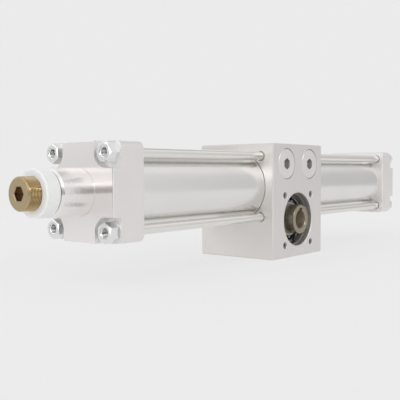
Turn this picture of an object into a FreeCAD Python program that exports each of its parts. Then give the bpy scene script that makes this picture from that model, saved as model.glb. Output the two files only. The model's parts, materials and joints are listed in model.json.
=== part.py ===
import FreeCAD, Part
import math
import os

# Rack-and-pinion rotary actuator with twin barrels, in millimetres.
# X runs along the barrels, the pinion's opening faces -Y, Z is up and the origin is under the block's middle.

# Turning gear
turn_range_deg = 360.0
gear_module = 3.0
pinion_teeth = 17
pressure_angle_deg = 20.0
tooth_backlash = 0.3
root_clearance = 0.75
gear_width = 36.0
pinion_height = 45.25
rack_drop = 15.25
rack_diameter = 44.0
rack_spare_teeth = 3

# Pinion hub and its bearings
hub_diameter = 35.0
hub_proud = 3.25
hub_chamfer = 0.6
output_bore = 22.0
output_chamfer = 1.0
keyway_width = 6.0
keyway_depth = 2.8
shoulder_length = 9.2
shoulder_step = 1.25
bearing_diameter = 62.0
bearing_width = 14.0
bearing_ring = 4.2
bearing_chamfer = 0.8
ball_count = 11
ball_diameter = 7.94
cage_thickness = 2.6
cage_lip = 1.2
cage_web = 0.9
cage_pocket_gap = 0.15

# Circlips
circlip_thickness = 2.0
circlip_height = 4.0
circlip_bite = 1.4
circlip_gap = 16.0
circlip_lug = 2.8
circlip_hole = 1.1
groove_lip = 2.0

# Centre block
block_length = 113.5
block_width = 107.5
block_cover = 50.8
block_chamfer = 1.2
opening_diameter = 65.0
opening_chamfer = 1.0
cavity_clearance = 1.5
face_hole_spacing = 60.0
face_hole_diameter = 8.0
face_hole_depth = 16.0
face_hole_chamfer = 0.6

# Guide rollers over the rack, each on a stud with a flush plug
guide_spacing = 53.0
guide_rise = 27.0
plug_diameter = 37.0
plug_thickness = 11.0
plug_chamfer = 1.2
plug_socket = 12.0
plug_socket_depth = 7.0
plug_wall = 1.0
stud_shoulder = 16.0
axle_diameter = 10.0
axle_seat_depth = 10.0
roller_diameter = 24.0
roller_width = 24.0
roller_chamfer = 1.0
roller_gap = 0.3
roller_room = 1.5
bush_wall = 2.0

# Barrels
barrel_bore = 80.0
barrel_wall = 2.5
barrel_seat_depth = 8.0
barrel_seat_chamfer = 0.5
gasket_thickness = 1.5

# Pistons
piston_length = 28.0
piston_gap = 0.3
piston_run_in = 4.2
piston_chamfer = 1.0
seal_width = 5.5
seal_height = 4.5
seal_lip = 0.6
seal_heel = 2.2
seal_land = 2.5
wear_band_width = 8.0
wear_band_thickness = 2.2
wear_band_slit = 1.0
piston_screw_diameter = 12.0
piston_screw_grip = 20.0
piston_screw_head = 18.0
piston_screw_head_height = 12.0
piston_screw_socket = 10.0
piston_screw_socket_depth = 6.0
piston_screw_sink = 13.0

# Cylinder heads
head_thickness = 39.4
head_margin = 10.5
head_corner_radius = 7.0
head_chamfer = 0.8
pocket_depth = 10.5
pocket_radius = 14.0
spigot_length = 12.0
spigot_chamfer = 1.0
boss_diameter = 45.0
boss_length = 36.6
boss_chamfer = 3.0
boss_fillet = 3.0
port_diameter = 16.66
port_depth = 13.0
port_drill = 11.0
port_setback = 18.0
air_chamber_diameter = 27.0
o_ring_section = 2.4
o_ring_room = 0.6

# Tie rods with sleeve nuts and washers
rod_diameter = 10.0
rod_barrel_gap = 3.41
rod_hole_clearance = 0.5
rod_hole_chamfer = 1.0
rod_tip_gap = 0.5
nut_across_flats = 17.0
nut_height = 10.3
nut_chamfer = 1.0
nut_screw_depth = 16.0
nut_screw_gap = 0.25
sleeve_diameter = 14.0
sleeve_length = 14.0
washer_diameter = 21.0
washer_thickness = 2.0

# Stop screws and their lock collars
collar_diameter = 43.4
collar_length = 15.0
collar_chamfer = 1.0
screw_diameter = 30.0
screw_reach = 13.7
screw_grip = 33.0
screw_chamfer = 1.2
screw_socket = 12.0
screw_socket_depth = 10.0
screw_socket_turn_deg = 30.0
nose_diameter = 18.0
bumper_diameter = 25.0
bumper_thickness = 6.0
bumper_stub_diameter = 8.0
bumper_stub_length = 8.0
stop_gap = 0.3
stop_lead = 0.6
screw_ring_setback = 3.0

# Clearances
fit_gap = 0.02
running_gap = 0.05
thread_gap = 0.05
screw_gap = 0.1
seat_gap = 0.1
overcut = 1.0

# Gear sizes
tooth_pitch = math.pi * gear_module
pitch_radius = gear_module * pinion_teeth / 2.0
tip_radius = pitch_radius + gear_module
root_radius = pitch_radius - gear_module - root_clearance
base_radius = pitch_radius * math.cos(math.radians(pressure_angle_deg))
rack_travel = math.radians(turn_range_deg / 2.0) * pitch_radius
teeth_each_way = math.ceil(rack_travel / tooth_pitch) + rack_spare_teeth

# Heights
axis_height = pinion_height + pitch_radius + rack_drop
block_height = axis_height + block_cover
guide_height = axis_height + guide_rise
rack_back = guide_height - roller_diameter / 2.0 - roller_gap
rack_tip = axis_height - rack_drop - gear_module
rack_root = axis_height - rack_drop + gear_module + root_clearance

# Places along X, counted outward from the middle
block_end = block_length / 2.0
barrel_seat = block_end - barrel_seat_depth
barrel_start = barrel_seat + gasket_thickness
piston_near = block_end + piston_run_in + rack_travel
piston_far = piston_near + piston_length
stop_tip = piston_far + rack_travel + stop_gap
spigot_end = stop_tip + stop_lead
head_inner = spigot_end + spigot_length
head_face = head_inner + head_thickness
pocket_floor = head_face - pocket_depth
washer_top = pocket_floor + washer_thickness
nut_end = washer_top + nut_height
rod_end = nut_end - nut_screw_depth
boss_end = head_face + boss_length
collar_end = boss_end + collar_length
screw_end = collar_end + screw_reach
screw_inner = boss_end - screw_grip
bumper_seat = stop_tip + bumper_thickness
guide_place = guide_spacing / 2.0
rod_hole_end = guide_place + plug_diameter / 2.0 + plug_wall
rod_start = rod_hole_end + rod_tip_gap

# Places along Y, counted outward from the middle
block_face = block_width / 2.0
hub_end = block_face + hub_proud
bearing_inner = gear_width / 2.0 + shoulder_length
bearing_outer = bearing_inner + bearing_width
bearing_middle = bearing_inner + bearing_width / 2.0
groove_end = bearing_outer + circlip_thickness + 2.0 * running_gap
opening_floor = groove_end + groove_lip
roller_side = roller_width / 2.0 + roller_gap

# Cross sizes that follow others
barrel_radius = barrel_bore / 2.0 + barrel_wall
rod_place = (barrel_radius + rod_barrel_gap + rod_diameter / 2.0) / math.sqrt(2.0)
head_size = 2.0 * (rod_place + head_margin)
shoulder_radius = root_radius - shoulder_step
inner_ring_radius = hub_diameter / 2.0 + fit_gap
ball_circle_radius = (inner_ring_radius + bearing_diameter / 2.0) / 2.0
piston_radius = barrel_bore / 2.0 - piston_gap
spigot_radius = barrel_bore / 2.0 - seat_gap
screw_bore_radius = screw_diameter / 2.0 + screw_gap
corner_signs = [(1, 1), (1, -1), (-1, 1), (-1, -1)]

X_AXIS = FreeCAD.Vector(1, 0, 0)
Y_AXIS = FreeCAD.Vector(0, 1, 0)
Z_AXIS = FreeCAD.Vector(0, 0, 1)
MIDDLE = FreeCAD.Vector(0, 0, 0)


def cyl_x(radius, start, end, y=0.0, z=axis_height):
    return Part.makeCylinder(radius, end - start, FreeCAD.Vector(start, y, z), X_AXIS)


def cyl_y(radius, start, end, x=0.0, z=pinion_height):
    return Part.makeCylinder(radius, end - start, FreeCAD.Vector(x, start, z), Y_AXIS)


def box(x_range, y_range, z_range):
    corner = FreeCAD.Vector(x_range[0], y_range[0], z_range[0])
    sizes = [high - low for low, high in (x_range, y_range, z_range)]
    return Part.makeBox(*sizes, corner)


def turned_x(profile, y=0.0, z=axis_height):
    # Solid of revolution about an axis along X, from (place along X, radius) points
    points = [FreeCAD.Vector(along, y, z + radius) for along, radius in profile]
    face = Part.Face(Part.makePolygon(points + points[:1]))
    return face.revolve(FreeCAD.Vector(0, y, z), X_AXIS, 360)


def turned_y(profile, x=0.0, z=pinion_height):
    # Solid of revolution about an axis along Y, from (place along Y, radius) points
    points = [FreeCAD.Vector(x, along, z + radius) for along, radius in profile]
    face = Part.Face(Part.makePolygon(points + points[:1]))
    return face.revolve(FreeCAD.Vector(x, 0, z), Y_AXIS, 360)


def chamfered(start, end, inner, outer, chamfer):
    # Ring profile with both outer corners chamfered
    return [(start, inner), (start, outer - chamfer), (start + chamfer, outer),
            (end - chamfer, outer), (end, outer - chamfer), (end, inner)]


def hexagon(across_flats, centre, axis, length, turn_deg=0.0):
    # Hexagonal prism from centre along axis, with two corners up and down unless turned
    up = FreeCAD.Vector(0, 0, across_flats / math.sqrt(3.0))
    turns = [FreeCAD.Rotation(axis, 60 * corner + turn_deg) for corner in range(7)]
    outline = Part.makePolygon([centre + turn.multVec(up) for turn in turns])
    return Part.Face(outline).extrude(axis * length)


def mirrored_x(shape):
    return shape.mirror(MIDDLE, X_AXIS)


def mirrored_y(shape):
    return shape.mirror(MIDDLE, Y_AXIS)


def at_rods(make):
    # One copy of a piece at each of the four tie rods
    return [make(y_sign * rod_place, axis_height + z_sign * rod_place) for y_sign, z_sign in corner_signs]


def o_ring_x(inner, outer, middle):
    # Round ring that fills the room between two radii, about the barrels' axis
    section = (outer - inner) / 2.0 - fit_gap
    return Part.makeTorus((outer + inner) / 2.0, section, FreeCAD.Vector(middle, 0, axis_height), X_AXIS)


# Centre block
def face_hole(x, z):
    # Screw hole in the front face, with its chamfer
    radius = face_hole_diameter / 2.0
    rim = radius + face_hole_chamfer
    floor = -block_face + face_hole_depth
    profile = [(-block_face - overcut, 0), (-block_face - overcut, rim + overcut), (-block_face, rim),
               (-block_face + face_hole_chamfer, radius), (floor, radius), (floor, 0)]
    return turned_y(profile, x, z)


def pinion_room():
    # Bearing seat, circlip groove and opening on the front half, with half of the gear's cavity
    seat = bearing_diameter / 2.0 + fit_gap
    opening = opening_diameter / 2.0
    rim = opening + opening_chamfer
    groove = bearing_diameter / 2.0 + circlip_bite + running_gap
    cavity = tip_radius + cavity_clearance
    profile = [(0, 0), (0, cavity), (-bearing_inner, cavity), (-bearing_inner, seat), (-bearing_outer, seat),
               (-bearing_outer, groove), (-groove_end, groove), (-groove_end, seat), (-opening_floor, seat),
               (-opening_floor, opening), (-block_face + opening_chamfer, opening), (-block_face, rim),
               (-block_face - overcut, rim + overcut), (-block_face - overcut, 0)]
    return turned_y(profile)


def end_hole(radius, start, chamfer, y=0.0, z=axis_height):
    # Round seat in the right end face, with its chamfer
    rim = radius + chamfer
    profile = [(start, 0), (start, radius), (block_end - chamfer, radius), (block_end, rim),
               (block_end + overcut, rim + overcut), (block_end + overcut, 0)]
    return turned_x(profile, y, z)


def guide_room(x):
    # Plug hole, roller space and axle seat of one guide roller
    plug_back = -block_face + plug_thickness
    plug = cyl_y(plug_diameter / 2.0 + seat_gap, -block_face - overcut, plug_back, x, guide_height)
    roller = cyl_y(roller_diameter / 2.0 + roller_room, plug_back - overcut, roller_side, x, guide_height)
    seat = cyl_y(axle_diameter / 2.0 + fit_gap, 0, roller_side + axle_seat_depth, x, guide_height)
    return plug.fuse([roller, seat])


def make_block():
    body = box((-block_end, block_end), (-block_face, block_face), (0, block_height))
    body = body.makeChamfer(block_chamfer, body.Edges)
    half = face_hole_spacing / 2.0
    cuts = [face_hole(x * half, pinion_height + z * half) for x, z in corner_signs]
    cuts += [pinion_room(), mirrored_y(pinion_room())]
    right = at_rods(lambda y, z: end_hole(rod_diameter / 2.0 + fit_gap, rod_hole_end, rod_hole_chamfer, y, z))
    right.append(end_hole(barrel_radius + seat_gap, barrel_seat, barrel_seat_chamfer))
    cuts += right + [mirrored_x(cut) for cut in right]
    cuts += [guide_room(-guide_place), guide_room(guide_place)]
    cuts.append(cyl_x(rack_diameter / 2.0 + seat_gap + roller_gap, -block_end, block_end))
    return body.cut(cuts)


# Pinion
def involute(angle):
    return math.tan(angle) - angle


def half_tooth_angle(radius):
    # Half of a tooth's angular width at a radius; below the base circle the flank is radial
    flank = math.acos(base_radius / max(radius, base_radius))
    width_at_pitch = math.pi / (2.0 * pinion_teeth)
    return width_at_pitch + involute(math.radians(pressure_angle_deg)) - involute(flank)


def gear_point(radius, angle):
    # Angle is counted from straight up
    return FreeCAD.Vector(radius * math.sin(angle), -gear_width / 2.0, pinion_height + radius * math.cos(angle))


def flank_curve(centre, side):
    # Involute from the base circle to the tip
    steps = 5
    radii = [base_radius + (tip_radius - base_radius) * step / (steps - 1) for step in range(steps)]
    points = [gear_point(radius, centre + side * half_tooth_angle(radius)) for radius in radii]
    curve = Part.BSplineCurve()
    curve.interpolate(points)
    return curve.toShape()


def gear_outline():
    # A gap between two teeth points straight up, where the rack's middle tooth sits
    edges = []
    turn = 2.0 * math.pi / pinion_teeth
    for tooth in range(pinion_teeth):
        centre = (tooth + 0.5) * turn
        foot = half_tooth_angle(base_radius)
        crest = half_tooth_angle(tip_radius)
        for side in (-1, 1):
            edges.append(Part.makeLine(gear_point(root_radius, centre + side * foot),
                                       gear_point(base_radius, centre + side * foot)))
            edges.append(flank_curve(centre, side))
        edges.append(Part.Arc(gear_point(tip_radius, centre - crest), gear_point(tip_radius, centre),
                              gear_point(tip_radius, centre + crest)).toShape())
        edges.append(Part.Arc(gear_point(root_radius, centre + foot), gear_point(root_radius, centre + turn / 2.0),
                              gear_point(root_radius, centre + turn - foot)).toShape())
    return Part.Wire(Part.__sortEdges__(edges))


def make_pinion():
    gear = Part.Face(gear_outline()).extrude(Y_AXIS * gear_width)
    hub = hub_diameter / 2.0
    bore = output_bore / 2.0
    core = root_radius - overcut
    half = [(0, core), (-gear_width / 2.0 + overcut, core), (-gear_width / 2.0 + overcut, shoulder_radius),
            (-bearing_inner, shoulder_radius), (-bearing_inner, hub), (-hub_end + hub_chamfer, hub),
            (-hub_end, hub - hub_chamfer), (-hub_end, bore + output_chamfer), (-hub_end + output_chamfer, bore)]
    shaft = turned_y(half + [(0, bore)])
    bore_cut = cyl_y(bore, -hub_end, hub_end)
    keyway = box((-keyway_width / 2.0, keyway_width / 2.0), (-hub_end, hub_end),
                 (pinion_height, pinion_height + bore + keyway_depth))
    body = gear.fuse([shaft, mirrored_y(shaft)]).cut([bore_cut, keyway])
    return body.removeSplitter()


# Bearings and circlips, made at the front
def bearing_ring_solid(inner, outer):
    profile = [(-bearing_outer, inner + bearing_chamfer), (-bearing_outer, outer - bearing_chamfer),
               (-bearing_outer + bearing_chamfer, outer), (-bearing_inner - bearing_chamfer, outer),
               (-bearing_inner, outer - bearing_chamfer), (-bearing_inner, inner + bearing_chamfer),
               (-bearing_inner - bearing_chamfer, inner), (-bearing_outer + bearing_chamfer, inner)]
    race = Part.makeTorus(ball_circle_radius, ball_diameter / 2.0 + running_gap,
                          FreeCAD.Vector(0, -bearing_middle, pinion_height), Y_AXIS)
    return turned_y(profile).cut(race)


def make_outer_ring():
    outer = bearing_diameter / 2.0
    return bearing_ring_solid(outer - bearing_ring, outer)


def make_inner_ring():
    return bearing_ring_solid(inner_ring_radius, inner_ring_radius + bearing_ring)


def ball_directions():
    # Direction of each ball from the bearing's middle
    angles = [2.0 * math.pi * ball / ball_count for ball in range(ball_count)]
    return [FreeCAD.Vector(math.sin(angle), 0, math.cos(angle)) for angle in angles]


def make_balls():
    middle = FreeCAD.Vector(0, -bearing_middle, pinion_height)
    return Part.makeCompound([Part.makeSphere(ball_diameter / 2.0, middle + way * ball_circle_radius)
                              for way in ball_directions()])


def make_cage():
    # Crown cage with drilled pockets, open in front of the balls and closed behind them
    middle = FreeCAD.Vector(0, -bearing_middle, pinion_height)
    pocket = ball_diameter / 2.0 + cage_pocket_gap
    front = -bearing_middle - cage_lip
    back = -bearing_middle + pocket + cage_web
    inner = ball_circle_radius - cage_thickness / 2.0
    ring = cyl_y(inner + cage_thickness, front, back).cut(cyl_y(inner, front, back))
    return ring.cut([Part.makeCylinder(pocket, inner + cage_thickness, middle, way) for way in ball_directions()])


def make_circlip():
    back = -bearing_outer - running_gap
    front = back - circlip_thickness
    outer = bearing_diameter / 2.0 + circlip_bite
    inner = outer - circlip_height - circlip_bite
    ring = cyl_y(outer, front, back).cut(cyl_y(inner, front, back))
    ring = ring.cut(box((-circlip_gap / 2.0, circlip_gap / 2.0), (front, back), (0, pinion_height)))
    lug_x = circlip_gap / 2.0 + circlip_lug
    lug_z = pinion_height - math.sqrt(inner ** 2 - lug_x ** 2)
    lugs = [cyl_y(circlip_lug, front, back, side * lug_x, lug_z) for side in (-1, 1)]
    holes = [cyl_y(circlip_hole, front, back, side * lug_x, lug_z) for side in (-1, 1)]
    return ring.fuse(lugs).cut(holes).removeSplitter()


# Rack and guide rollers
def tooth_gap(middle):
    # Space between two rack teeth, open downward
    slope = math.tan(math.radians(pressure_angle_deg))
    pitch_line = axis_height - rack_drop

    def half_width(level):
        return tooth_pitch / 4.0 + (pitch_line - level) * slope + tooth_backlash / 2.0

    reach = rack_tip - overcut
    side = rack_diameter / 2.0 + overcut
    corners = [(-half_width(rack_root), rack_root), (half_width(rack_root), rack_root),
               (half_width(reach), reach), (-half_width(reach), reach)]
    points = [FreeCAD.Vector(middle + x, -side, z) for x, z in corners]
    return Part.Face(Part.makePolygon(points + points[:1])).extrude(Y_AXIS * 2.0 * side)


def make_rack():
    radius = rack_diameter / 2.0
    bar = cyl_x(radius, -piston_near, piston_near)
    toothed = (teeth_each_way + 0.5) * tooth_pitch
    rolled = rack_travel + guide_place + roller_diameter / 2.0
    side = (-radius - overcut, radius + overcut)
    cuts = [box((-toothed, toothed), side, (axis_height - radius - overcut, rack_tip)),
            box((-rolled, rolled), side, (rack_back, axis_height + radius + overcut))]
    cuts += [tooth_gap((place + 0.5) * tooth_pitch) for place in range(-teeth_each_way, teeth_each_way)]
    hole = piston_screw_diameter / 2.0 + thread_gap
    depth = piston_screw_grip + overcut
    cuts += [cyl_x(hole, piston_near - depth, piston_near), cyl_x(hole, -piston_near, -piston_near + depth)]
    return bar.cut(cuts)


def make_stud(x):
    # Flush plug with a hex socket, and the axle that it carries
    plug = plug_diameter / 2.0
    plug_back = -block_face + plug_thickness
    shoulder = -roller_side + roller_gap - running_gap
    axle = axle_diameter / 2.0
    tip = roller_side + axle_seat_depth - rod_tip_gap
    profile = [(-block_face, 0), (-block_face, plug - plug_chamfer), (-block_face + plug_chamfer, plug),
               (plug_back, plug), (plug_back, stud_shoulder / 2.0), (shoulder, stud_shoulder / 2.0),
               (shoulder, axle), (tip, axle), (tip, 0)]
    socket = hexagon(plug_socket, FreeCAD.Vector(x, -block_face, guide_height), Y_AXIS, plug_socket_depth)
    return turned_y(profile, x, guide_height).cut(socket)


def make_roller(x):
    inner = axle_diameter / 2.0 + running_gap + bush_wall + fit_gap
    profile = chamfered(-roller_width / 2.0, roller_width / 2.0, inner, roller_diameter / 2.0, roller_chamfer)
    return turned_y(profile, x, guide_height)


def make_bush(x):
    inner = axle_diameter / 2.0 + running_gap
    half = roller_width / 2.0
    return cyl_y(inner + bush_wall, -half, half, x, guide_height).cut(cyl_y(inner, -half, half, x, guide_height))


# Pistons, made on the right
def seal_starts():
    return [piston_near + seal_land, piston_far - seal_land - seal_width]


def make_piston():
    screw = piston_screw_diameter / 2.0 + seat_gap
    body = turned_x(chamfered(piston_near, piston_far, screw, piston_radius, piston_chamfer))
    floor = piston_radius - seal_height
    middle = (piston_near + piston_far) / 2.0
    grooves = [cyl_x(piston_radius + overcut, start, start + seal_width).cut(cyl_x(floor, start, start + seal_width))
               for start in seal_starts()]
    band = (middle - wear_band_width / 2.0, middle + wear_band_width / 2.0)
    band_floor = piston_radius - wear_band_thickness
    grooves.append(cyl_x(piston_radius + overcut, *band).cut(cyl_x(band_floor, *band)))
    sink = cyl_x(piston_screw_head / 2.0 + piston_gap, piston_far - piston_screw_sink, piston_far)
    return body.cut(grooves + [sink])


def make_piston_seals():
    # Lip seals whose lips flare toward the barrel wall
    floor = piston_radius - seal_height + fit_gap
    lip = barrel_bore / 2.0 - running_gap
    waist = lip - seal_lip
    seals = []
    for start in seal_starts():
        end = start + seal_width
        profile = [(start, floor), (start, waist), (start + seal_heel, waist), (end - seal_lip, lip),
                   (end, lip), (end, floor)]
        seals.append(turned_x(profile))
    return Part.makeCompound(seals)


def make_wear_band():
    middle = (piston_near + piston_far) / 2.0
    band = (middle - wear_band_width / 2.0, middle + wear_band_width / 2.0)
    inner = piston_radius - wear_band_thickness + fit_gap
    outer = barrel_bore / 2.0 - running_gap
    ring = cyl_x(outer, *band).cut(cyl_x(inner, *band))
    slit = box(band, (-wear_band_slit / 2.0, wear_band_slit / 2.0), (axis_height, axis_height + outer + overcut))
    return ring.cut(slit)


def make_piston_screw():
    seat = piston_far - piston_screw_sink
    tip = piston_near - piston_screw_grip
    top = seat + piston_screw_head_height
    head = piston_screw_head / 2.0
    shank = piston_screw_diameter / 2.0
    profile = [(tip, 0), (tip, shank - piston_gap), (tip + piston_gap, shank), (seat, shank), (seat, head),
               (top - piston_gap, head), (top, head - piston_gap), (top, 0)]
    socket = hexagon(piston_screw_socket, FreeCAD.Vector(top, 0, axis_height), -X_AXIS, piston_screw_socket_depth)
    return turned_x(profile).cut(socket)


# Barrels and heads, made on the right
def make_barrel():
    return cyl_x(barrel_radius, barrel_start, head_inner).cut(cyl_x(barrel_bore / 2.0, barrel_start, head_inner))


def make_gasket():
    ring = cyl_x(barrel_radius, barrel_seat, barrel_start)
    return ring.cut(cyl_x(barrel_bore / 2.0, barrel_seat, barrel_start))


def corner_pocket(quarter):
    # Recess round one nut, open at the head's corner, with a round inner corner
    low = rod_place - pocket_radius
    pocket = box((pocket_floor, head_face + overcut), (low, head_size), (axis_height + low, axis_height + head_size))
    inner_edges = [edge for edge in pocket.Edges
                   if all(abs(v.Y - low) + abs(v.Z - axis_height - low) < fit_gap for v in edge.Vertexes)]
    pocket = pocket.makeFillet(pocket_radius, inner_edges)
    return pocket.rotate(FreeCAD.Vector(0, 0, axis_height), X_AXIS, 90 * quarter)


def spigot_groove():
    # Start, end and floor radius of the groove round the spigot
    middle = (spigot_end + head_inner) / 2.0
    half = (o_ring_section + o_ring_room) / 2.0
    return middle - half, middle + half, barrel_bore / 2.0 - o_ring_section


def make_head():
    half = head_size / 2.0
    body = box((head_inner, head_face), (-half, half), (axis_height - half, axis_height + half))
    body = body.makeFillet(head_corner_radius, [e for e in body.Edges if abs(e.tangentAt(e.FirstParameter).x) > 0.9])
    body = body.makeChamfer(head_chamfer, [e for e in body.Edges if e.BoundBox.XLength < fit_gap])
    start, end, floor = spigot_groove()
    bore = air_chamber_diameter / 2.0
    spigot = turned_x([(spigot_end, bore), (spigot_end, spigot_radius - spigot_chamfer),
                       (spigot_end + spigot_chamfer, spigot_radius), (start, spigot_radius), (start, floor),
                       (end, floor), (end, spigot_radius), (head_inner, spigot_radius), (head_inner, bore)])
    boss = boss_diameter / 2.0
    body = body.fuse(turned_x([(head_face, 0), (head_face, boss), (boss_end - boss_chamfer, boss),
                               (boss_end, boss - boss_chamfer), (boss_end, 0)]))
    boss_root = [e for e in body.Edges if abs(e.CenterOfMass.x - head_face) < fit_gap
                 and abs(e.BoundBox.YLength - boss_diameter) < fit_gap and e.BoundBox.XLength < fit_gap]
    body = body.makeFillet(boss_fillet, boss_root)
    top = axis_height + half
    port_x = head_inner + port_setback
    port = Part.makeCylinder(port_diameter / 2.0, port_depth + overcut,
                             FreeCAD.Vector(port_x, 0, top - port_depth), Z_AXIS)
    drill = Part.makeCylinder(port_drill / 2.0, half, FreeCAD.Vector(port_x, 0, axis_height), Z_AXIS)
    cuts = [corner_pocket(quarter) for quarter in range(4)] + [port, drill]
    cuts += at_rods(lambda y, z: cyl_x(rod_diameter / 2.0 + rod_hole_clearance, head_inner, head_face, y, z))
    cuts += at_rods(lambda y, z: cyl_x(sleeve_diameter / 2.0 + seat_gap, pocket_floor - sleeve_length - rod_tip_gap,
                                       head_face, y, z))
    cuts.append(cyl_x(bore, head_inner, boss_end))
    cuts.append(cyl_x(screw_bore_radius, screw_inner - overcut, boss_end))
    return body.fuse(spigot).cut(cuts).removeSplitter()


def make_head_ring():
    start, end, floor = spigot_groove()
    return o_ring_x(floor, barrel_bore / 2.0, (start + end) / 2.0)


# Tie rods, nuts and washers, made on the right
def make_rods():
    return Part.makeCompound(at_rods(lambda y, z: cyl_x(rod_diameter / 2.0, rod_start, rod_end, y, z)))


def nut(y, z):
    # Hex nut with a sleeve that reaches into the head; its outer end is free for a mounting screw
    sleeve_end = pocket_floor - sleeve_length
    rod_hole = cyl_x(rod_diameter / 2.0 + thread_gap, sleeve_end, nut_end, y, z)
    screw_hole = cyl_x(rod_diameter / 2.0 + nut_screw_gap, rod_end, nut_end, y, z)
    rim = nut_across_flats / math.sqrt(3.0)
    flats = hexagon(nut_across_flats, FreeCAD.Vector(washer_top, y, z), X_AXIS, nut_height)
    crown = turned_x([(washer_top, 0), (washer_top, rim), (nut_end - nut_chamfer, rim),
                      (nut_end, rim - 2.0 * nut_chamfer), (nut_end, 0)], y, z)
    sleeve = cyl_x(sleeve_diameter / 2.0, sleeve_end, washer_top, y, z)
    return flats.common(crown).fuse(sleeve).cut([rod_hole, screw_hole]).removeSplitter()


def washer(y, z):
    ring = cyl_x(washer_diameter / 2.0, pocket_floor, washer_top, y, z)
    return ring.cut(cyl_x(sleeve_diameter / 2.0 + seat_gap, pocket_floor, washer_top, y, z))


# Stop screws and collars, made on the right
def make_collar():
    return turned_x(chamfered(boss_end, collar_end, screw_bore_radius, collar_diameter / 2.0, collar_chamfer))


def screw_groove():
    # Start, end and floor radius of the groove round the stop screw
    start = screw_inner + screw_ring_setback
    return start, start + o_ring_section + o_ring_room, screw_bore_radius - o_ring_section


def make_stop_screw():
    start, end, floor = screw_groove()
    body = screw_diameter / 2.0
    nose = nose_diameter / 2.0
    nose_end = bumper_seat + seat_gap
    stub = bumper_stub_diameter / 2.0 + running_gap
    stub_end = nose_end + bumper_stub_length
    profile = [(nose_end, stub), (nose_end, nose), (screw_inner, nose), (screw_inner, body), (start, body),
               (start, floor), (end, floor), (end, body), (screw_end - screw_chamfer, body),
               (screw_end, body - screw_chamfer), (screw_end, 0), (stub_end, 0), (stub_end, stub)]
    socket = hexagon(screw_socket, FreeCAD.Vector(screw_end, 0, axis_height), -X_AXIS, screw_socket_depth,
                     screw_socket_turn_deg)
    return turned_x(profile).cut(socket)


def make_screw_ring():
    start, end, floor = screw_groove()
    return o_ring_x(floor, screw_bore_radius - running_gap, (start + end) / 2.0)


def make_bumper():
    stub = bumper_stub_diameter / 2.0
    pad = bumper_diameter / 2.0
    profile = [(stop_tip, 0), (stop_tip, pad - stop_lead), (stop_tip + stop_lead, pad), (bumper_seat, pad),
               (bumper_seat, stub), (bumper_seat + bumper_stub_length, stub), (bumper_seat + bumper_stub_length, 0)]
    return turned_x(profile)


# Every node by name
def all_nodes():
    nodes = {"centre_block": make_block(), "pinion": make_pinion(), "rack": make_rack()}
    front = {"bearing_outer_ring": make_outer_ring(), "bearing_inner_ring": make_inner_ring(),
             "bearing_balls": make_balls(), "bearing_cage": make_cage(), "circlip": make_circlip()}
    for name, shape in front.items():
        nodes["front_" + name] = shape
        nodes["rear_" + name] = mirrored_y(shape)
    right = {"barrel": make_barrel(), "barrel_gasket": make_gasket(), "head": make_head(),
             "head_o_ring": make_head_ring(), "tie_rods": make_rods(),
             "tie_rod_nuts": Part.makeCompound(at_rods(nut)), "tie_rod_washers": Part.makeCompound(at_rods(washer)),
             "lock_collar": make_collar(), "stop_screw": make_stop_screw(), "stop_screw_o_ring": make_screw_ring(),
             "stop_bumper": make_bumper(), "piston": make_piston(), "piston_seals": make_piston_seals(),
             "piston_wear_band": make_wear_band(), "piston_screw": make_piston_screw(),
             "roller_stud": make_stud(guide_place), "guide_roller": make_roller(guide_place),
             "roller_bush": make_bush(guide_place)}
    for name, shape in right.items():
        nodes["right_" + name] = shape
        nodes["left_" + name] = mirrored_x(shape)
    return nodes


os.makedirs("parts", exist_ok=True)
for node, shape in all_nodes().items():
    shape.exportStep("parts/" + node + ".step")
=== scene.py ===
import json
import math

import bmesh
import bpy
from mathutils import Matrix, Vector


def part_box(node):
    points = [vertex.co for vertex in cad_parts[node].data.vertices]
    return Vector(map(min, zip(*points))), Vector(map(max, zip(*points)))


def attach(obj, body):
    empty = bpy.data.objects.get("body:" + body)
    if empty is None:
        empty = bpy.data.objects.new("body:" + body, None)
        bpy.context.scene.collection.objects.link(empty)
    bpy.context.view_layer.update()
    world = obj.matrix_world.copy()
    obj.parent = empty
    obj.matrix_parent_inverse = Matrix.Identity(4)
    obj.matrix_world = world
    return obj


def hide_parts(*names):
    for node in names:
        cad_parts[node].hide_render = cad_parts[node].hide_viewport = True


# Looks of a rack-and-pinion rotary actuator, in metres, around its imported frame
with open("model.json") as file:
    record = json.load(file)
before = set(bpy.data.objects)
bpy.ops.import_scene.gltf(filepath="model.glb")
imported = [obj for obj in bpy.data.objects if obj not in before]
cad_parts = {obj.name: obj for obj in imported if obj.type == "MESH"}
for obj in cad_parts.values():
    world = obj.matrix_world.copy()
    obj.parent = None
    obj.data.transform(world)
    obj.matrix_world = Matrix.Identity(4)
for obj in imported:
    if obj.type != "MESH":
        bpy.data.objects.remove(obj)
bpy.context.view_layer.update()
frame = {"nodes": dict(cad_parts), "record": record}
nodes = frame["nodes"]
mounts = {mount["name"]: mount for mount in frame["record"]["mounts"]}
SIDES = {"left": -1, "right": 1}

# Camera, as the photograph's perspective places it; the sensor's width is in millimetres
CAMERA_PLACE = Vector((-0.69407, -0.46758, 0.10519))
CAMERA_YAW = math.radians(39.41)
CAMERA_PITCH = math.radians(-2.58)
CAMERA_ROLL = math.radians(-0.25)
FOCAL_PIXELS = 651.67
IMAGE_PIXELS = 400
SENSOR_WIDTH = 36.0
NEAR_LIMIT = 0.01

# Studio: the pale backdrop and floor, and the sky's level at heights in degrees
BACKDROP_LEVEL = 0.831
FLOOR_RADIUS = 1.6
FLOOR_SOLID_RADIUS = 0.7
FLOOR_SEGMENTS = 96
FLOOR_ALBEDO = 0.93
FLOOR_GLOW = 0.8
SKY_LEVELS = [(-90, 0.93), (0, 0.95), (40, 0.95), (60, 0.78), (90, 0.78)]

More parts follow.
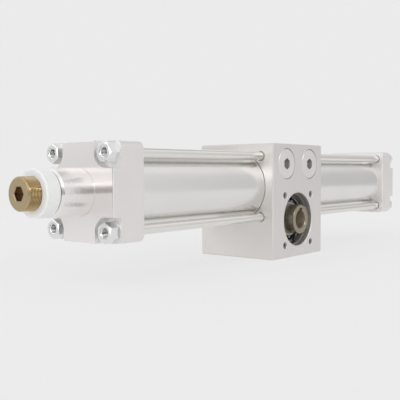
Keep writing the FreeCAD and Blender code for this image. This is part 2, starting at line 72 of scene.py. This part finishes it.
# Lighter and darker spots of the room: azimuth, height, core and reach in degrees, then what they add
SPOTS = {"front_lamp": (-18, 33, 8, 18, 0.14),
         "left_lamp": (192, 35, 10, 28, 0.3),
         "left_low_lamp": (189, 6, 9, 22, 1.8),
         "left_back": (140, -16, 8, 28, -0.4),
         "left_back_high": (141, 44, 10, 26, 0.4),
         "thread_lamp": (-100, 31, 5, 11, 5.0),
         "right_front": (-39, 0, 40, 100, -0.16),
         "right_end": (-10, 0, 6, 40, -0.22),
         "right_high": (8, 45, 6, 17, -0.3),
         "dark_behind_camera": (-141, 3, 9, 21, -1.0)}

# Areas that are coloured apart, and the margin that they keep from a face
BOSS_LENGTH = 0.0366
BOSS_RADIUS = 0.0225
# Width of the painted shadow at each boss's end, where the collar meets it
BOSS_SEAM_SHADOW = 0.0011
POCKET_DEPTH = 0.0105
OPENING_RADIUS = 0.0325
# Depth over which painted shade darkens the walls of the openings
SHADE_DEPTH = 0.007
BORE_RADIUS = 0.011
HUB_CHAMFER = 0.001
PLUG_RADIUS = 0.0185
SOCKET_WIDTH = 0.012
SKIN = 0.0003
FACING_SHARE = 0.9

# Small forms made here: the corner at the foot of a boss, as built and as seen, and the turn of a nut
BOSS_FILLET = 0.003
SEEN_FILLET = 0.0004
CORNER_SKIN = 0.00004
NUT_TURN = math.radians(30)

# Threads
SCREW_PITCH = 0.0015
NUT_PITCH = 0.0015
FACE_PITCH = 0.00125
PORT_PITCH = 0.001337
THREAD_SHARE = 0.6134
THREAD_CREST = 0.125
THREAD_FLANK = 0.3125
THREAD_ROOT = 0.25
ROWS_PER_TURN = 8
HOLE_SEGMENTS = 48
SHARP_ANGLE = math.radians(25)
NUT_THREAD_LENGTH = 0.0155
FACE_THREAD_LENGTH = 0.0150
PORT_THREAD_LENGTH = 0.0125

# Stop screws
NOSE_RADIUS = 0.009
SCREW_GRIP = 0.033
SCREW_CHAMFER = 0.0012
SCREW_SEGMENTS = 96
SOCKET_DEPTH = 0.010
SOCKET_LEAD = 0.0008

# Plain finishes: colour, then roughness
DRAWN = {"barrel_anodised": ((0.81, 0.80, 0.785), 0.23),
         "rod_steel": ((0.81, 0.795, 0.765), 0.16),
         "rack_steel": ((0.55, 0.55, 0.56), 0.25)}
# hole_aluminium is a dark grey, as painted shade inside the threaded holes of the block and heads
PLATED = {"hole_aluminium": ((0.42, 0.41, 0.40), 0.45),
          "nut_zinc": ((0.83, 0.83, 0.83), 0.22),
          "screw_steel": ((0.10, 0.10, 0.10), 0.4),
          "roller_steel": ((0.58, 0.58, 0.59), 0.2),
          "bush_bronze": ((0.55, 0.38, 0.20), 0.4),
          # ball_steel and cage_steel are painted dark, as painted shade deep in the opening where they
          # sit
          "ball_steel": ((0.24, 0.235, 0.23), 0.25),
          "cage_steel": ((0.15, 0.14, 0.125), 0.40),
          "circlip_steel": ((0.14, 0.13, 0.12), 0.4)}
MOULDED = {"collar_white": ((0.86, 0.86, 0.86), 0.42),
           "bumper_rubber": ((0.08, 0.08, 0.08), 0.5),
           "seal_rubber": ((0.02, 0.02, 0.02), 0.5),
           "wear_band_plastic": ((0.20, 0.12, 0.06), 0.5)}


def middle(node):
    low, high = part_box(node)
    return (low + high) / 2


# Places taken from the frame
BARREL_AXIS = middle("left_barrel")
PINION_AXIS = middle("pinion")
HUB_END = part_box("pinion")[1].y
BOSS_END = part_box("right_head")[1].x
HEAD_FACE = BOSS_END - BOSS_LENGTH
HEAD_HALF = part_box("right_head")[1].y
SCREW_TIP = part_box("right_stop_screw")[1].x
BLOCK_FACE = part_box("centre_block")[1].y


# Node helpers
def add(tree, kind, inputs=None, **settings):
    node = tree.nodes.new("ShaderNode" + kind)
    for name, value in settings.items():
        setattr(node, name, value)
    for name, value in (inputs or {}).items():
        if isinstance(value, bpy.types.NodeSocket):
            tree.links.new(value, node.inputs[name])
        else:
            node.inputs[name].default_value = value
    return node


def maths(tree, operation, first, second=0.0):
    return add(tree, "Math", {0: first, 1: second}, operation=operation).outputs[0]


def vectors(tree, operation, first, second=(0, 0, 0), result="Vector"):
    return add(tree, "VectorMath", {0: first, 1: second}, operation=operation).outputs[result]


def spread(tree, value, low, high):
    # Maps 0 to 1 onto another range
    return add(tree, "MapRange", {"Value": value, "To Min": low, "To Max": high}).outputs["Result"]


def eased(tree, value, none, full):
    # Soft step from 0 to 1
    inputs = {"Value": value, "From Min": none, "From Max": full}
    return add(tree, "MapRange", inputs, interpolation_type="SMOOTHSTEP").outputs["Result"]


def mixed(tree, share, first, second):
    return add(tree, "Mix", {"Factor": share, "A": first, "B": second}).outputs["Result"]


def coloured(tree, share, first, second):
    inputs = {"Factor": share, "A": first, "B": second}
    return add(tree, "Mix", inputs, data_type="RGBA").outputs["Result"]


def object_place(tree):
    return add(tree, "TexCoord").outputs["Object"]


def along(tree, axis):
    return add(tree, "SeparateXYZ", {0: object_place(tree)}).outputs[axis]


def noise(tree, place, scale, detail=3.0):
    return add(tree, "TexNoise", {"Vector": place, "Scale": scale, "Detail": detail}).outputs["Fac"]


def stretched_noise(tree, scales, detail=3.0):
    return noise(tree, vectors(tree, "MULTIPLY", object_place(tree), scales), scale=1.0, detail=detail)


def from_axis(tree, axis, centre):
    # Vector from a turning axis to the point, with nothing along the axis
    keep = (0, 1, 1) if axis == "X" else (1, 0, 1)
    return vectors(tree, "MULTIPLY", vectors(tree, "SUBTRACT", object_place(tree), centre), keep)


def off_axis(tree, axis, centre):
    return vectors(tree, "LENGTH", from_axis(tree, axis, centre), result="Value")


def turned_noise(tree, axis, centre, scale):
    # Marks that run round a turning axis
    parts = {0: along(tree, axis), 1: off_axis(tree, axis, centre)}
    return noise(tree, add(tree, "CombineXYZ", parts).outputs["Vector"], scale, detail=2.0)


def round_axis(tree, axis, centre):
    # Direction round a turning axis
    way = (1, 0, 0) if axis == "X" else (0, 1, 0)
    return vectors(tree, "CROSS_PRODUCT", way, from_axis(tree, axis, centre))


# Areas of a piece, one inside and zero outside
def facing(tree, axis):
    # Faces square to an axis, at either end
    normal = add(tree, "SeparateXYZ", {0: add(tree, "TexCoord").outputs["Normal"]}).outputs[axis]
    return maths(tree, "GREATER_THAN", maths(tree, "ABSOLUTE", normal), FACING_SHARE)


def beyond(tree, axis, place):
    # Past a place along an axis, on either side
    return maths(tree, "GREATER_THAN", maths(tree, "ABSOLUTE", along(tree, axis)), place)


def within(tree, axis, centre, radius):
    return maths(tree, "LESS_THAN", off_axis(tree, axis, centre), radius)


def beyond_radius(tree, axis, centre, radius):
    return maths(tree, "GREATER_THAN", off_axis(tree, axis, centre), radius)


def pocket_inside(tree):
    # Walls and floors of the recesses round the heads' nuts, painted lighter on the heads as painted
    # light against their shade
    off = vectors(tree, "ABSOLUTE", vectors(tree, "SUBTRACT", object_place(tree), BARREL_AXIS))
    parts = add(tree, "SeparateXYZ", {0: off}).outputs
    widest = maths(tree, "MAXIMUM", parts["Y"], parts["Z"])
    inside = maths(tree, "LESS_THAN", widest, HEAD_HALF - SKIN)
    deep = maths(tree, "SUBTRACT", beyond(tree, "X", HEAD_FACE - POCKET_DEPTH - SKIN),
                 beyond(tree, "X", HEAD_FACE - SKIN))
    return maths(tree, "MULTIPLY", inside, deep)


def boss_fillet(tree):
    # Rounded corner between a boss and the face round it, painted darker on the heads as painted shade
    outside = beyond_radius(tree, "X", BARREL_AXIS, BOSS_RADIUS + CORNER_SKIN)
    return maths(tree, "MULTIPLY", outside, beyond(tree, "X", HEAD_FACE + CORNER_SKIN))


def socket_inside(tree, axis, centre, face):
    # Walls and floor of a hex socket under an end face
    inside = within(tree, axis, centre, SOCKET_WIDTH / math.sqrt(3) + SKIN)
    on_face = maths(tree, "MULTIPLY", inside, beyond(tree, axis, face - SKIN))
    return maths(tree, "SUBTRACT", inside, on_face)


# Materials
def shader(name, metallic, roughness, **sockets):
    material = bpy.data.materials.new(name)
    material.use_nodes = True
    tree = material.node_tree
    bsdf = tree.nodes["Principled BSDF"]
    bsdf.inputs["Metallic"].default_value = metallic
    bsdf.inputs["Roughness"].default_value = roughness
    for socket, value in sockets.items():
        bsdf.inputs[socket.replace("_", " ")].default_value = value
    return material, tree, bsdf


def paint(tree, bsdf, colour, drift, cloud, patches=()):
    # Colour that drifts a little lighter and darker, with other colours on some areas
    dark = tuple(part * (1 - drift) for part in colour)
    light = tuple(min(1.0, part * (1 + drift)) for part in colour)
    result = coloured(tree, cloud, (*dark, 1), (*light, 1))
    for area, other in patches:
        result = coloured(tree, area(tree), result, (*other, 1))
    tree.links.new(result, bsdf.inputs["Base Color"])


def relief(tree, bsdf, height, depth):
    bump = add(tree, "Bump", {"Height": height, "Distance": depth, "Strength": 1.0})
    tree.links.new(bump.outputs["Normal"], bsdf.inputs["Normal"])


def grain(tree, bsdf, roughness, marks, spared, grains=()):
    # Roughness that varies with the marks, with other values on some areas
    result = roughness
    for area, other in grains:
        result = mixed(tree, area(tree), result, other)
    share = spread(tree, marks, 1 - spared, 1 + spared)
    tree.links.new(maths(tree, "MULTIPLY", result, share), bsdf.inputs["Roughness"])


def turned_metal(name, colour, roughness, axis, centre, anisotropy=0.6, patches=(), grains=()):
    # Metal with lathe marks round an axis
    material, tree, bsdf = shader(name, metallic=1.0, roughness=roughness, Anisotropic=anisotropy,
                                  Anisotropic_Rotation=0.25)
    cloud = noise(tree, object_place(tree), scale=45.0)
    paint(tree, bsdf, colour, drift=0.04, cloud=cloud, patches=patches)
    grain(tree, bsdf, roughness, turned_noise(tree, axis, centre, scale=350.0), spared=0.3, grains=grains)
    tree.links.new(round_axis(tree, axis, centre), bsdf.inputs["Tangent"])
    relief(tree, bsdf, turned_noise(tree, axis, centre, scale=2500.0), depth=4e-6)
    return material


def drawn_metal(name, colour, roughness):
    # Tube or bar with fine lines along X
    material, tree, bsdf = shader(name, metallic=1.0, roughness=roughness)
    paint(tree, bsdf, colour, drift=0.03, cloud=stretched_noise(tree, scales=(20.0, 60.0, 60.0)))
    lines = stretched_noise(tree, scales=(30.0, 1500.0, 1500.0), detail=2.0)
    grain(tree, bsdf, roughness, lines, spared=0.25)
    relief(tree, bsdf, lines, depth=1.5e-6)
    return material


def plated_metal(name, colour, roughness):
    # Plated, ground or blackened steel with a fine grain
    material, tree, bsdf = shader(name, metallic=1.0, roughness=roughness)
    cloud = noise(tree, object_place(tree), scale=120.0)
    paint(tree, bsdf, colour, drift=0.05, cloud=cloud)
    grain(tree, bsdf, roughness, cloud, spared=0.3)
    relief(tree, bsdf, noise(tree, object_place(tree), scale=1800.0), depth=8e-6)
    return material


def faced_metal(name, colour, roughness, faced_area, anisotropy, depth, patches, grains):
    # Milled metal with an area turned about the barrels' axis
    material, tree, bsdf = shader(name, metallic=1.0, roughness=roughness, Anisotropic_Rotation=0.25)
    cloud = noise(tree, object_place(tree), scale=35.0)
    paint(tree, bsdf, colour, drift=0.03, cloud=cloud, patches=patches)
    faced = faced_area(tree)
    milled = stretched_noise(tree, scales=(60.0, 60.0, 900.0), detail=2.0)
    marks = mixed(tree, faced, milled, turned_noise(tree, "X", BARREL_AXIS, scale=900.0))
    grain(tree, bsdf, roughness, marks, spared=0.15, grains=grains)
    tree.links.new(maths(tree, "MULTIPLY", faced, anisotropy), bsdf.inputs["Anisotropic"])
    tree.links.new(round_axis(tree, "X", BARREL_AXIS), bsdf.inputs["Tangent"])
    relief(tree, bsdf, marks, depth)
    return material


def moulded(name, colour, roughness):
    # Plastic or rubber with a faint grain
    material, tree, bsdf = shader(name, metallic=0.0, roughness=roughness)
    pores = noise(tree, object_place(tree), scale=1500.0)
    paint(tree, bsdf, colour, drift=0.03, cloud=noise(tree, object_place(tree), scale=80.0))
    grain(tree, bsdf, roughness, pores, spared=0.15)
    relief(tree, bsdf, pores, depth=1e-5)
    return material


def block_aluminium(name):
    # Milled block with turned sides, and painted shade on the walls of its openings
    def sides(tree):
        return facing(tree, "X")

    def opening(tree):
        return within(tree, "Y", PINION_AXIS, OPENING_RADIUS + SKIN)

    def deep_shade(tree):
        # Painted shade on the walls of the openings, more the deeper they are
        depth = maths(tree, "SUBTRACT", BLOCK_FACE, maths(tree, "ABSOLUTE", along(tree, "Y")))
        return maths(tree, "MULTIPLY", opening(tree), eased(tree, depth, 0.0, SHADE_DEPTH))

    patches = [(opening, (0.78, 0.76, 0.74)), (deep_shade, (0.45, 0.435, 0.425)), (sides, (0.81, 0.78, 0.76))]
    return faced_metal(name, (0.775, 0.745, 0.735), 0.55, faced_area=sides, anisotropy=0.9, depth=3e-6,
                       patches=patches, grains=[(sides, 0.36)])


def head_aluminium(name):
    # Milled head with a turned, smoother front and boss
    def outer(tree):
        return maths(tree, "SUBTRACT", beyond(tree, "X", HEAD_FACE - SKIN), boss_fillet(tree))

    def flat(tree):
        return maths(tree, "MULTIPLY", outer(tree), facing(tree, "X"))

    # Painted shadow in the groove where the collar meets the boss's end
    def seam_shadow(tree):
        return beyond(tree, "X", BOSS_END - BOSS_SEAM_SHADOW)

    # The boss's corner and end are painted darker as painted shade, and the pockets lighter as painted
    # light
    patches = [(outer, (0.90, 0.87, 0.86)), (boss_fillet, (0.55, 0.53, 0.52)),
               (pocket_inside, (0.94, 0.93, 0.92)), (seam_shadow, (0.45, 0.45, 0.45))]
    return faced_metal(name, (0.85, 0.82, 0.81), 0.55, faced_area=outer, anisotropy=0.85, depth=6e-7,
                       patches=patches, grains=[(outer, 0.26), (flat, 0.15)])


def screw_brass(name):
    # Turned brass, greyer on its end, which is rougher too, and painted greyer and darker in its socket
    # as painted shade
    def end_face(tree):
        return facing(tree, "X")

    def socket(tree):
        return socket_inside(tree, "X", BARREL_AXIS, SCREW_TIP)

    def tip(tree):
        return beyond(tree, "X", SCREW_TIP - SCREW_CHAMFER - SKIN)

    patches = [(end_face, (0.46, 0.365, 0.225)), (socket, (0.44, 0.34, 0.25))]
    return turned_metal(name, (0.49, 0.38, 0.21), 0.20, "X", BARREL_AXIS, anisotropy=0.3,
                        patches=patches, grains=[(tip, 0.32)])


def pinion_steel(name):
    # Turned steel, darker on its ends and duller in its bore
    def bore(tree):
        return within(tree, "Y", PINION_AXIS, BORE_RADIUS + SKIN)

    def end_face(tree):
        return beyond(tree, "Y", HUB_END - HUB_CHAMFER - SKIN)

    patches = [(bore, (0.73, 0.665, 0.55)), (end_face, (0.33, 0.295, 0.225))]
    return turned_metal(name, (0.92, 0.84, 0.71), 0.24, "Y", PINION_AXIS, anisotropy=0.6,
                        patches=patches, grains=[(bore, 0.40)])


def stud_steel(name, stud):
    # Turned steel about a stud's own axis, with painted shade in its socket and a painted shadow at its
    # edge, in the gap round the plug
    def socket(tree):
        return socket_inside(tree, "Y", middle(stud), BLOCK_FACE)

    def edge(tree):
        return beyond_radius(tree, "Y", middle(stud), PLUG_RADIUS - SKIN)

    patches = [(socket, (0.58, 0.57, 0.56)), (edge, (0.35, 0.34, 0.33))]
    return turned_metal(name, (0.85, 0.82, 0.81), 0.48, "Y", middle(stud), anisotropy=0.3,
                        patches=patches)


materials = {
    "block_aluminium": block_aluminium("block_aluminium"),
    "head_aluminium": head_aluminium("head_aluminium"),
    "screw_brass": screw_brass("screw_brass"),
    "pinion_steel": pinion_steel("pinion_steel"),
    "piston_aluminium": turned_metal("piston_aluminium", (0.70, 0.70, 0.70), 0.28, "X", BARREL_AXIS),
    # bearing_steel is painted dark, as painted shade deep in the opening
    "bearing_steel": turned_metal("bearing_steel", (0.34, 0.33, 0.31), 0.30, "Y", PINION_AXIS),
}
for finish, table in [(drawn_metal, DRAWN), (plated_metal, PLATED), (moulded, MOULDED)]:
    for name, (colour, roughness) in table.items():
        materials[name] = finish(name, colour, roughness)


def cover(piece, material):
    piece.data.materials.clear()
    piece.data.materials.append(material)


# Every CAD node has the finish of its slot, and each stud one about its own axis
for part in frame["record"]["subparts"]:
    if part["material_slot"] in materials:
        cover(nodes[part["node"]], materials[part["material_slot"]])
for side in SIDES:
    cover(nodes[side + "_roller_stud"], stud_steel(side + "_stud_steel", side + "_roller_stud"))


# Thread meshes
def thread_depth(turn):
    # Depth from 0 to 1 over one pitch of a sixty degree thread
    turn %= 1.0
    if turn < THREAD_CREST:
        return 0.0
    if turn < THREAD_CREST + THREAD_FLANK:
        return (turn - THREAD_CREST) / THREAD_FLANK
    if turn < THREAD_CREST + THREAD_FLANK + THREAD_ROOT:
        return 1.0
    return (1.0 - turn) / THREAD_FLANK


def thread_rows(start, end, outer, pitch):
    # Rings of a thread under an outer radius, which runs out over one pitch at both ends
    count = round(abs(end - start) / pitch * ROWS_PER_TURN)
    rows = []
    for step in range(count + 1):
        place = start + (end - start) * step / count
        share = THREAD_SHARE * pitch * min(1.0, abs(place - start) / pitch, abs(end - place) / pitch)

        def radius(angle, place=place, share=share):
            return outer - share * thread_depth(place / pitch + angle / (2 * math.pi))

        rows.append((place, radius))
    return rows


def constant(radius):
    return lambda angle: radius


def hexagon(width, lead=0.0):
    # Radius for each angle of a hexagon with two flats up and down
    return lambda angle: width / 2 / math.cos((angle + math.pi / 6) % (math.pi / 3) - math.pi / 6) + lead


def place_on(axis, place, radius, angle, centre):
    # Point at an angle round an axis
    if axis == "X":
        return Vector((place, centre.y - radius * math.sin(angle), centre.z + radius * math.cos(angle)))
    if axis == "Y":
        return Vector((centre.x + radius * math.sin(angle), place, centre.z + radius * math.cos(angle)))
    return Vector((centre.x + radius * math.cos(angle), centre.y + radius * math.sin(angle), place))


def add_rings(mesh, rows, segments, axis, centre, closed):
    # Rings of points joined by faces; a row is a place along the axis and a radius for each angle
    angles = [2 * math.pi * step / segments for step in range(segments)]
    rings = [[mesh.verts.new(place_on(axis, place, radius(angle), angle, centre)) for angle in angles]
             for place, radius in rows]
    pairs = list(zip(rings, rings[1:]))
    if closed:
        pairs.append((rings[-1], rings[0]))
    else:
        mesh.faces.new(rings[0])
        mesh.faces.new(rings[-1])
    for first, second in pairs:
        for step in range(segments):
            after = (step + 1) % segments
            mesh.faces.new((first[step], first[after], second[after], second[step]))


def make_piece(name, mesh, body, finish):
    # Object from a mesh, smooth but for its sharp edges, that rides on a body
    bmesh.ops.recalc_face_normals(mesh, faces=mesh.faces)
    data = bpy.data.meshes.new(name)
    mesh.to_mesh(data)
    mesh.free()
    data.shade_smooth()
    data.set_sharp_from_angle(angle=SHARP_ANGLE)
    data.materials.append(materials[finish])
    piece = bpy.data.objects.new(name, data)
    bpy.context.scene.collection.objects.link(piece)
    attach(piece, body)
    return piece


def make_stop_screw(side, sign):
    # Stop screw with a thread round its outer end and a hex socket
    low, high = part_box(side + "_stop_screw")
    tip = sign * SCREW_TIP
    nose = high.x if sign < 0 else low.x
    thread_start = sign * BOSS_END
    body_start = thread_start - sign * SCREW_GRIP
    radius = (high.z - low.z) / 2
    rows = [(nose, constant(NOSE_RADIUS)),
            (body_start, constant(NOSE_RADIUS)),
            (body_start, constant(radius))]
    rows += thread_rows(thread_start, tip - sign * SCREW_CHAMFER, radius, SCREW_PITCH)
    rows += [(tip, constant(radius - SCREW_CHAMFER)),
             (tip, hexagon(SOCKET_WIDTH, SOCKET_LEAD)),
             (tip - sign * SOCKET_LEAD, hexagon(SOCKET_WIDTH)),
             (tip - sign * SOCKET_DEPTH, hexagon(SOCKET_WIDTH))]
    mesh = bmesh.new()
    add_rings(mesh, rows, SCREW_SEGMENTS, "X", BARREL_AXIS, closed=False)
    piece = make_piece(side + "_threaded_stop_screw", mesh, side + "_stop", "screw_brass")
    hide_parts(side + "_stop_screw")


def make_hole_threads(name, finish, mount, axis, start, end, pitch):
    # Threads that stand inward from the walls of a mount's holes
    size = mounts[mount]["dims"]
    centre = Vector(mounts[mount]["pos_m"])
    radius = size.get("hole_r_mm", size.get("r_mm")) / 1000
    half = size.get("spacing_x_mm", 0.0) / 2000
    shifts = [Vector((0, 0, 0))]
    if half:
        across = Vector((0, half, 0)) if axis == "X" else Vector((half, 0, 0))
        shifts = [y * across + z * Vector((0, 0, half)) for y in (-1, 1) for z in (-1, 1)]
    rows = thread_rows(start, end, radius, pitch)
    rows += [(end, constant(radius + SKIN)), (start, constant(radius + SKIN))]
    mesh = bmesh.new()
    for shift in shifts:
        add_rings(mesh, rows, HOLE_SEGMENTS, axis, centre + shift, closed=True)
    make_piece(name, mesh, "housing", finish)


def reshape(node, name, move):
    # Copy of a housing node with some of its points moved, which stands for the node
    data = nodes[node].data.copy()
    for vertex in data.vertices:
        vertex.co = move(vertex.co)
    piece = bpy.data.objects.new(name, data)
    bpy.context.scene.collection.objects.link(piece)
    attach(piece, "housing")
    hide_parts(node)


def sharpen_boss_corner(place):
    # Draws the rounded corner at the foot of a boss in to a smaller radius
    sign = math.copysign(1, place.x)
    across = Vector((0, place.y - BARREL_AXIS.y, place.z - BARREL_AXIS.z))
    out = sign * place.x - HEAD_FACE
    off = across.length - BOSS_RADIUS
    if min(out, off) < -SKIN or max(out, off) > BOSS_FILLET + SKIN:
        return place
    share = SEEN_FILLET / BOSS_FILLET
    foot = BARREL_AXIS + across.normalized() * (BOSS_RADIUS + off * share)
    return Vector((sign * (HEAD_FACE + out * share), foot.y, foot.z))


def turn_nut(place):
    # Turns the upper front nut, so that two of its flats are up and down
    if place.y > BARREL_AXIS.y or place.z < BARREL_AXIS.z:
        return place
    half = mounts["left_end_bolts"]["dims"]["spacing_x_mm"] / 2000
    axis = BARREL_AXIS + Vector((0, -half, half))
    return axis + Matrix.Rotation(NUT_TURN, 3, "X") @ (place - axis)


for side, sign in SIDES.items():
    reshape(side + "_head", side + "_turned_head", sharpen_boss_corner)
    reshape(side + "_tie_rod_nuts", side + "_tightened_nuts", turn_nut)
    make_stop_screw(side, sign)
    nut_end = mounts[side + "_end_bolts"]["pos_m"][0]
    make_hole_threads(side + "_nut_threads", "nut_zinc", side + "_end_bolts", "X",
                      nut_end, nut_end - sign * NUT_THREAD_LENGTH, NUT_PITCH)
    head_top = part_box(side + "_head")[1].z
    make_hole_threads(side + "_port_thread", "hole_aluminium", side + "_air_port", "Z",
                      head_top, head_top - PORT_THREAD_LENGTH, PORT_PITCH)
face_start = mounts["face_bolts"]["pos_m"][1]
make_hole_threads("face_hole_threads", "hole_aluminium", "face_bolts", "Y",
                  face_start, face_start + FACE_THREAD_LENGTH, FACE_PITCH)


# Camera and studio
def direction(azimuth, height):
    level = math.cos(height)
    return Vector((level * math.cos(azimuth), level * math.sin(azimuth), math.sin(height)))


def grey(level):
    return (level, level, level, 1)


def make_camera():
    forward = direction(CAMERA_YAW, CAMERA_PITCH)
    level = Vector((math.sin(CAMERA_YAW), -math.cos(CAMERA_YAW), 0))
    upright = level.cross(forward)
    right = math.cos(CAMERA_ROLL) * level + math.sin(CAMERA_ROLL) * upright
    up = -math.sin(CAMERA_ROLL) * level + math.cos(CAMERA_ROLL) * upright
    data = bpy.data.cameras.new("camera")
    data.sensor_width = SENSOR_WIDTH
    data.lens = FOCAL_PIXELS * SENSOR_WIDTH / IMAGE_PIXELS
    data.clip_start = NEAR_LIMIT
    camera = bpy.data.objects.new("camera", data)
    turn = Matrix((right, up, -forward)).transposed().to_4x4()
    camera.matrix_world = Matrix.Translation(CAMERA_PLACE) @ turn
    bpy.context.scene.collection.objects.link(camera)
    bpy.context.scene.camera = camera


def spot(tree, way, azimuth, height, core, reach, level):
    # Round soft area of the room
    centre = direction(math.radians(azimuth), math.radians(height))
    beside = vectors(tree, "DOT_PRODUCT", way, centre, "Value")
    share = eased(tree, beside, math.cos(math.radians(reach)), math.cos(math.radians(core)))
    return maths(tree, "MULTIPLY", share, level)


def make_world():
    # Soft room round the part, and the plain backdrop that the camera sees
    world = bpy.data.worlds.new("studio")
    world.use_nodes = True
    tree = world.node_tree
    tree.nodes.clear()
    way = add(tree, "TexCoord").outputs["Generated"]
    upward = add(tree, "SeparateXYZ", {0: way}).outputs["Z"]
    height = maths(tree, "MULTIPLY", maths(tree, "ADD", upward, 1.0), 0.5)
    ramp = add(tree, "ValToRGB", {"Fac": height})
    stops = ramp.color_ramp.elements
    while len(stops) < len(SKY_LEVELS):
        stops.new(0.5)
    for stop, (degrees, level) in zip(stops, SKY_LEVELS):
        stop.position = (math.sin(math.radians(degrees)) + 1) / 2
        stop.color = grey(level)
    strength = 1.0
    for sizes in SPOTS.values():
        strength = maths(tree, "ADD", strength, spot(tree, way, *sizes))
    sky = add(tree, "Background", {"Color": ramp.outputs["Color"], "Strength": strength})
    plain = add(tree, "Background", {"Color": grey(BACKDROP_LEVEL)})
    seen = add(tree, "LightPath").outputs["Is Camera Ray"]
    mix = add(tree, "MixShader", {0: seen, 1: sky.outputs[0], 2: plain.outputs[0]})
    add(tree, "OutputWorld", {"Surface": mix.outputs[0]})
    bpy.context.scene.world = world


def make_floor():
    # Pale disc that keeps the part's shadow and fades into the backdrop
    mesh = bmesh.new()
    bmesh.ops.create_circle(mesh, cap_ends=True, segments=FLOOR_SEGMENTS, radius=FLOOR_RADIUS)
    data = bpy.data.meshes.new("floor")
    mesh.to_mesh(data)
    mesh.free()
    floor = bpy.data.objects.new("floor", data)
    bpy.context.scene.collection.objects.link(floor)
    material, tree, bsdf = shader("floor", metallic=0.0, roughness=1.0, Specular_IOR_Level=0.0)
    bsdf.inputs["Base Color"].default_value = grey(FLOOR_ALBEDO)
    reach = vectors(tree, "LENGTH", object_place(tree), result="Value")
    path = add(tree, "LightPath").outputs
    seen = maths(tree, "MAXIMUM", maths(tree, "MAXIMUM", path["Is Camera Ray"], path["Is Glossy Ray"]),
                 path["Is Transmission Ray"])
    glow = add(tree, "Emission", {"Color": grey(BACKDROP_LEVEL)})
    share = maths(tree, "MULTIPLY", seen, FLOOR_GLOW)
    pale = add(tree, "MixShader", {0: share, 1: bsdf.outputs[0], 2: glow.outputs[0]})
    clear = add(tree, "BsdfTransparent")
    fade = eased(tree, reach, FLOOR_SOLID_RADIUS, FLOOR_RADIUS)
    mix = add(tree, "MixShader", {0: fade, 1: pale.outputs[0], 2: clear.outputs[0]})
    tree.links.new(mix.outputs[0], tree.nodes["Material Output"].inputs["Surface"])
    data.materials.append(material)


make_camera()
make_world()
make_floor()
bpy.context.scene.view_settings.view_transform = "Standard"
